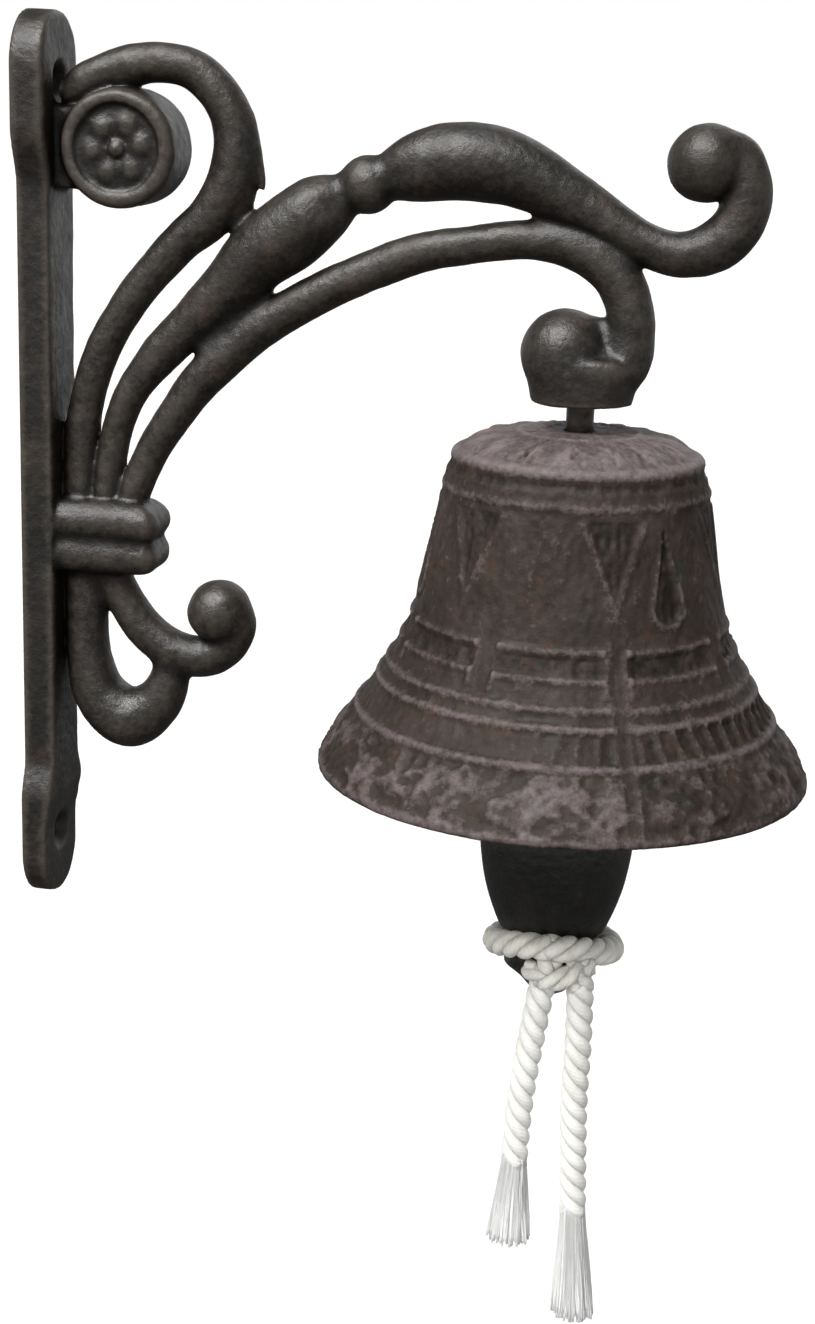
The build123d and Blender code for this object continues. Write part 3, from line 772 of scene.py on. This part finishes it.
def make_rope(darker_wrap_cotton, tail_cotton, lightened_brush_cotton):
    """One turn round the clapper's groove, a strand crossing its front, and two tails that fray."""
    wrap_z = centre_of("rope_wrap")[2]
    turn = np.linspace(-math.pi / 2, 1.5 * math.pi, 240)[:, None]
    loop = np.concatenate(
        [
            BELL_X + 0.6 + 13.2 * np.cos(turn), 14.2 * np.sin(turn),
            wrap_z - 0.2 - 3.0 * np.sin(turn) + 1.8 * np.sin(turn) ** 2,
        ], 1
    )
    knot = follow_route(
        [(119.4, -11.8, -103.4), (121.8, -14.8, -105.0), (125.4, -16.0, -104.6), (129.6, -15.6, -103.0),
         (133.2, -12.4, -101.2)]
    )
    leads = [
        follow_route([
            (top_x, -12.6, -100.4), ((top_x + foot_x) / 2, -13.8, -103.2), (foot_x, TAIL_Y, -106.4),
        ])
        for top_x, foot_x in ((124.2, 122.7), (130.6, 131.3))
    ]
    wrap = rope_piece(
        "rope_wrap_strands",
        join_tubes(
            [laid_strands(loop, (0, 0, 1)), laid_strands(knot, (0, 0, 1), 0.8, 0.8)]
            + [laid_strands(lead, (0, 1, 0), 0.3) for lead in leads]
        ),
        darker_wrap_cotton,
    )
    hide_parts("rope_wrap")
    for side, route, tassel, others, phase in (
        ("left", LEFT_TAIL, LEFT_TASSEL, [wrap], 0.3), ("right", RIGHT_TAIL, RIGHT_TASSEL, [], 1.1)
    ):
        line = follow_route(in_tail_plane(route))
        tail = rope_piece(f"rope_tail_{side}_strands", laid_strands(line, (0, 1, 0), phase), tail_cotton)
        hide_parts(f"rope_tail_{side}")
        frayed = rope_piece(
            f"rope_tassel_{side}",
            frayed_end(line[-1] + (line[-2] - line[-1]) * 2, line[-1] - line[-2], tassel, 2.4, len(side)),
            lightened_brush_cotton,
        )
        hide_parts(f"tassel_{side}")


# ---------------------------------------------------------------- materials


def linear(hex_colour):
    """sRGB hex as linear red, green, blue and alpha."""
    parts = [int(hex_colour[i : i + 2], 16) / 255 for i in (1, 3, 5)]
    return [p / 12.92 if p <= 0.04045 else ((p + 0.055) / 1.055) ** 2.4 for p in parts] + [1.0]


def add_node(tree, kind, settings=None, values=None, links=None):
    """Add a node, set its properties and socket values, and link outputs into its inputs."""
    node = tree.nodes.new(kind)
    for key, value in (settings or {}).items():
        setattr(node, key, value)
    for key, value in (values or {}).items():
        node.inputs[key].default_value = value
    for key, source in (links or {}).items():
        tree.links.new(source, node.inputs[key])
    return node


def set_ramp(node, stops):
    """Give a colour ramp its stops: place and sRGB hex."""
    elements = node.color_ramp.elements
    while len(elements) < len(stops):
        elements.new(0.5)
    for element, (place, colour) in zip(elements, stops):
        element.position = place
        element.color = linear(colour)


def new_material(name, roughness, metallic):
    """Material with one Principled shader; returns it, its tree and the shader."""
    material = bpy.data.materials.new(name)
    material.use_nodes = True
    tree = material.node_tree
    shader = tree.nodes["Principled BSDF"]
    shader.inputs["Roughness"].default_value = roughness
    shader.inputs["Metallic"].default_value = metallic
    return material, tree, shader


def tint_over(tree, colour, share, tint):
    """Colour output mixed towards the tint, an sRGB hex, by the share."""
    mix = add_node(tree, "ShaderNodeMix", {"data_type": "RGBA"}, None, {"Factor": share})
    mix.inputs[7].default_value = linear(tint)
    tree.links.new(colour, mix.inputs[6])
    return mix.outputs[2]


def per_mm(size):
    """Noise scale for features of that size in millimetres, on coordinates in metres."""
    return 1 / (size * MM)


def cast_iron(
    name, colours, patch_colours, shade_by, shade_span, wear_highlight_colour, hollow_shade_colour, grain, shine, matt
):
    """Sand-cast iron under an antique coat: the sand leaves a pitted grain, the coat goes on in
    uneven patches, rust and verdigris tint it, and handling polishes what stands proud. What stands
    proud is also painted lighter as a painted highlight, and hollows are painted darker as painted shade.
    The mesh attribute shade_by holds how proud or sunk each point is, with any painted highlight or
    shade added in, and counts as 0 where there is none."""
    material, tree, shader = new_material(name, 0.5, 0.0)
    shader.inputs["Specular IOR Level"].default_value = shine
    place = add_node(tree, "ShaderNodeTexCoord").outputs["Object"]
    clouds = add_node(
        tree, "ShaderNodeTexNoise", values={"Scale": per_mm(16), "Detail": 5.0, "Roughness": 0.6},
        links={"Vector": place},
    )
    base = add_node(tree, "ShaderNodeValToRGB", links={"Fac": clouds.outputs["Fac"]})
    set_ramp(base, colours)
    patches = add_node(
        tree, "ShaderNodeTexNoise", values={"Scale": per_mm(7.5), "Detail": 6.0, "Roughness": 0.65},
        links={"Vector": place},
    )
    colour = base.outputs["Color"]
    for low, high, tint in patch_colours:
        share = add_node(
            tree, "ShaderNodeMapRange", {"interpolation_type": "SMOOTHSTEP"},
            {"From Min": low, "From Max": high, "To Max": 0.75},
            {"Value": patches.outputs["Fac"]},
        )
        colour = tint_over(tree, colour, share.outputs["Result"], tint)
    height = add_node(tree, "ShaderNodeAttribute", {"attribute_name": shade_by})
    speckle = add_node(
        tree, "ShaderNodeTexNoise", values={"Scale": per_mm(1.3), "Detail": 4.0, "Roughness": 0.7},
        links={"Vector": place},
    )
    broken = add_node(
        tree, "ShaderNodeMath", {"operation": "MULTIPLY_ADD"}, {1: shade_span * 2.6, 2: -shade_span * 1.3},
        {0: speckle.outputs["Fac"]},
    )
    lifted = add_node(
        tree, "ShaderNodeMath", {"operation": "ADD"},
        links={0: height.outputs["Fac"], 1: broken.outputs["Value"]},
    )
    # proud places are mixed towards the light tint, as handling wear and painted highlight; hollows are
    # mixed towards the dark tint, as painted shade
    for low, high, tint, most in (
        (0.3 * shade_span, 2.0 * shade_span, wear_highlight_colour, 0.8),
        (-0.1 * shade_span, -1.0 * shade_span, hollow_shade_colour, 0.8),
    ):
        share = add_node(
            tree, "ShaderNodeMapRange", None, {"From Min": low, "From Max": high, "To Max": most},
            {"Value": lifted.outputs["Value"]},
        )
        colour = tint_over(tree, colour, share.outputs["Result"], tint)
    tree.links.new(colour, shader.inputs["Base Color"])
    roughness = add_node(
        tree, "ShaderNodeMapRange", None,
        {"From Min": 0.3, "From Max": 0.7, "To Min": matt, "To Max": matt + 0.22},
        {"Value": patches.outputs["Fac"]},
    )
    tree.links.new(roughness.outputs["Result"], shader.inputs["Roughness"])
    sand = add_node(
        tree, "ShaderNodeTexNoise", values={"Scale": per_mm(grain), "Detail": 5.0, "Roughness": 0.7},
        links={"Vector": place},
    )
    bump = add_node(
        tree, "ShaderNodeBump", None, {"Strength": 0.55, "Distance": 0.35 * MM},
        {"Height": sand.outputs["Fac"]},
    )
    pits = add_node(
        tree, "ShaderNodeTexVoronoi", {"feature": "SMOOTH_F1"}, {"Scale": per_mm(2.2), "Smoothness": 0.6},
        {"Vector": place},
    )
    pitted = add_node(
        tree, "ShaderNodeBump", None, {"Strength": 0.35, "Distance": 0.4 * MM},
        {"Height": pits.outputs["Distance"], "Normal": bump.outputs["Normal"]},
    )
    tree.links.new(pitted.outputs["Normal"], shader.inputs["Normal"])
    return material


def twisted_cotton(name, colours):
    """Soft-laid undyed cotton: fine yarns slant round each strand, matt, with a slight grey soiling."""
    material, tree, shader = new_material(name, 0.9, 0.0)
    shader.inputs["Sheen Weight"].default_value = 0.3
    shader.inputs["Subsurface Weight"].default_value = 0.6
    shader.inputs["Subsurface Radius"].default_value = (1.0, 0.97, 0.93)
    shader.inputs["Subsurface Scale"].default_value = 3 * MM
    uv = add_node(tree, "ShaderNodeTexCoord").outputs["UV"]
    # the yarns lie side by side round the strand, and each goes once round it in yarn_lay millimetres
    yarn_count, yarn_lay = 9, 9.0
    slant = add_node(tree, "ShaderNodeMapping", None, {"Scale": (1 / yarn_lay, 1.0, 1.0)}, {"Vector": uv})
    split = add_node(tree, "ShaderNodeSeparateXYZ", links={"Vector": slant.outputs["Vector"]})
    phase = add_node(
        tree, "ShaderNodeMath", {"operation": "ADD"}, None, {0: split.outputs["X"], 1: split.outputs["Y"]}
    )
    angle = add_node(
        tree, "ShaderNodeMath", {"operation": "MULTIPLY"}, {1: 2 * math.pi * yarn_count},
        {0: phase.outputs["Value"]},
    )
    yarn = add_node(tree, "ShaderNodeMath", {"operation": "SINE"}, None, {0: angle.outputs["Value"]})
    place = add_node(tree, "ShaderNodeTexCoord").outputs["Object"]
    fuzz = add_node(
        tree, "ShaderNodeTexNoise", values={"Scale": per_mm(0.7), "Detail": 4.0, "Roughness": 0.7},
        links={"Vector": place},
    )
    soil = add_node(
        tree, "ShaderNodeTexNoise", values={"Scale": per_mm(6), "Detail": 4.0}, links={"Vector": place}
    )
    colour = add_node(tree, "ShaderNodeValToRGB", links={"Fac": soil.outputs["Fac"]})
    set_ramp(colour, colours)
    tree.links.new(colour.outputs["Color"], shader.inputs["Base Color"])
    height = add_node(
        tree, "ShaderNodeMath", {"operation": "MULTIPLY_ADD"}, {1: 0.35},
        {0: yarn.outputs["Value"], 2: fuzz.outputs["Fac"]},
    )
    bump = add_node(
        tree, "ShaderNodeBump", None, {"Strength": 0.4, "Distance": 0.3 * MM},
        {"Height": height.outputs["Value"]},
    )
    tree.links.new(bump.outputs["Normal"], shader.inputs["Normal"])
    return material


def oiled_steel():
    """Rolled steel with an oil-black finish: nearly black, faintly brown, with soft broad glints."""
    material, tree, shader = new_material("oil_blackened_steel", 0.38, 0.85)
    place = add_node(tree, "ShaderNodeTexCoord").outputs["Object"]
    smear = add_node(
        tree, "ShaderNodeTexNoise", values={"Scale": per_mm(3), "Detail": 5.0}, links={"Vector": place}
    )
    colour = add_node(tree, "ShaderNodeValToRGB", links={"Fac": smear.outputs["Fac"]})
    set_ramp(colour, [(0.3, "#2a2725"), (0.6, "#45403c"), (0.8, "#5a4a40")])
    tree.links.new(colour.outputs["Color"], shader.inputs["Base Color"])
    bump = add_node(
        tree, "ShaderNodeBump", None, {"Strength": 0.25, "Distance": 0.2 * MM},
        {"Height": smear.outputs["Fac"]},
    )
    tree.links.new(bump.outputs["Normal"], shader.inputs["Normal"])
    return material


def pale_floor():
    """Matt white painted board."""
    material, _, shader = new_material("matt_white_floor", 0.9, 0.0)
    shader.inputs["Base Color"].default_value = linear("#f4f4f2")
    return material


def make_floor(material):
    """Plain square floor, as far below the bell as a room's."""
    half, level = 60.0, -1.4
    mesh = bpy.data.meshes.new("studio_floor")
    mesh.from_pydata(
        [(-half, -half, level), (half, -half, level), (half, half, level), (-half, half, level)],
        [], [(0, 1, 2, 3)],
    )
    mesh.materials.append(material)
    floor = bpy.data.objects.new("studio_floor", mesh)
    bpy.context.collection.objects.link(floor)
    floor.visible_diffuse = False
    floor.visible_glossy = False


def paint(node, material):
    """Give a CAD node its finish."""
    piece = NODES[node]
    for slot in piece.material_slots:
        slot.material = material


# ---------------------------------------------------------------- assembly

make_camera()
make_rope(
    # the wrap's cotton is a darker copy of the tails' cotton
    twisted_cotton("darker_cotton_wrap", [(0.3, "#b2afa5"), (0.55, "#d2d0c7"), (0.8, "#e6e4de")]),
    twisted_cotton("twisted_cotton_rope", [(0.3, "#cdccc5"), (0.55, "#dad9d4"), (0.8, "#e4e3df")]),
    # the tassels' cotton is a lighter copy of the tails' cotton: painted light, lifting the shade between
    # the thin yarns
    twisted_cotton("frayed_cotton_painted_lighter", [(0.3, "#f6f6f2"), (0.55, "#fbfbf9"), (0.8, "#fdfdfc")]),
)
light_the_stage()
bracket_iron = cast_iron(
    "sand_cast_iron_dark_coat",
    [(0.25, "#110e0c"), (0.5, "#191511"), (0.75, "#241f1a")],
    [(0.54, 0.70, "#2f2016"), (0.46, 0.32, "#1b1b12")],
    "wear_and_shade", 0.6, "#453e37", "#0a0807", 0.9, 0.38, 0.33,
)
bell_iron = cast_iron(
    "sand_cast_iron_rust_coat",
    [(0.25, "#231b16"), (0.5, "#2f2620"), (0.75, "#3c3231")],
    [(0.56, 0.72, "#3f2a1d"), (0.46, 0.32, "#26271b")],
    "relief", 0.6, "#7e7274", "#120e0b", 1.0, 0.18, 0.52,
)
clapper_iron = cast_iron(
    "sand_cast_iron_black_paint",
    [(0.25, "#0a0908"), (0.5, "#100f0c"), (0.75, "#1b1814")],
    [(0.54, 0.70, "#24170f"), (0.45, 0.3, "#11130b")],
    "wear_and_shade", 0.6, "#2f2b24", "#080706", 1.1, 0.6, 0.3,
)
steel = oiled_steel()
make_bracket(bracket_iron)
make_bell(bell_iron)
paint("clapper", clapper_iron)
for steel_node in ("eye_bolt", "crown_washer", "crown_nut", "clapper_ring"):
    paint(steel_node, steel)
make_floor(pale_floor())
